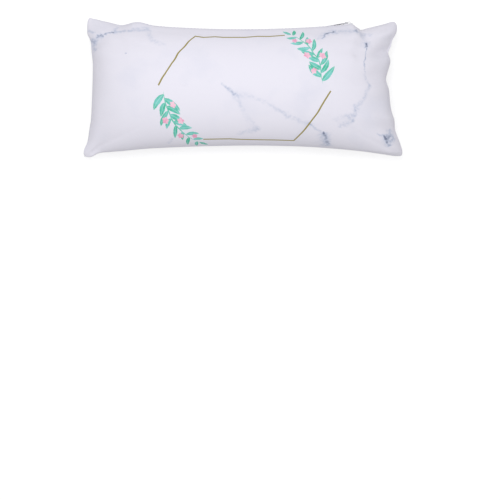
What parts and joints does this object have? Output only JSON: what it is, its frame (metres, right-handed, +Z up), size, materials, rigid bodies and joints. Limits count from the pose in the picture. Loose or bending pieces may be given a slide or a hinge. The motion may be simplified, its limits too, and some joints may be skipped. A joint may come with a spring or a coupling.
{
  "type": "manicure hand rest cushion",
  "caption": "Small oblong cushion for resting the hand during a manicure: a printed cloth cover with soft corner ears, zipped along one long side over a stuffed insert.",
  "frame": {"origin": "on the surface that the cushion lies on, under the middle of its outline's box", "axes": "+X along the cushion to the end with the zip slider, +Y across it to the zipped long side, +Z up out of the printed panel"},
  "size_m": [0.2835, 0.1221, 0.0619],
  "materials": {
    "printed_velvet": "matte",
    "plain_cloth": "matte",
    "fibre_bag": "matte",
    "zip_tape": "matte",
    "zip_coil": "satin",
    "plated_zinc": "satin"
  },
  "bodies": {
    "cushion": {"front_panel": "printed_velvet", "back_panel": "plain_cloth", "inner_cushion": "fibre_bag", "zip_tape_upper": "zip_tape", "zip_tape_lower": "zip_tape", "zip_coil_upper": "zip_coil", "zip_coil_lower": "zip_coil"},
    "slider": {"zip_slider": "plated_zinc"},
    "pull": {"zip_pull": "plated_zinc"}
  },
  "joints": [
    {"name": "zip_travel", "type": "hinge", "parent": "cushion", "child": "slider", "pos_m": [-0.00139, 1.05337, 0.027], "axis": [0, 0, -1], "range_deg": [0, 10.76]},
    {"name": "pull_swing", "type": "hinge", "parent": "slider", "child": "pull", "pos_m": [0.09246, 0.05688, 0.027], "axis": [0, 0, -1], "range_deg": [0, 170]}
  ]
}
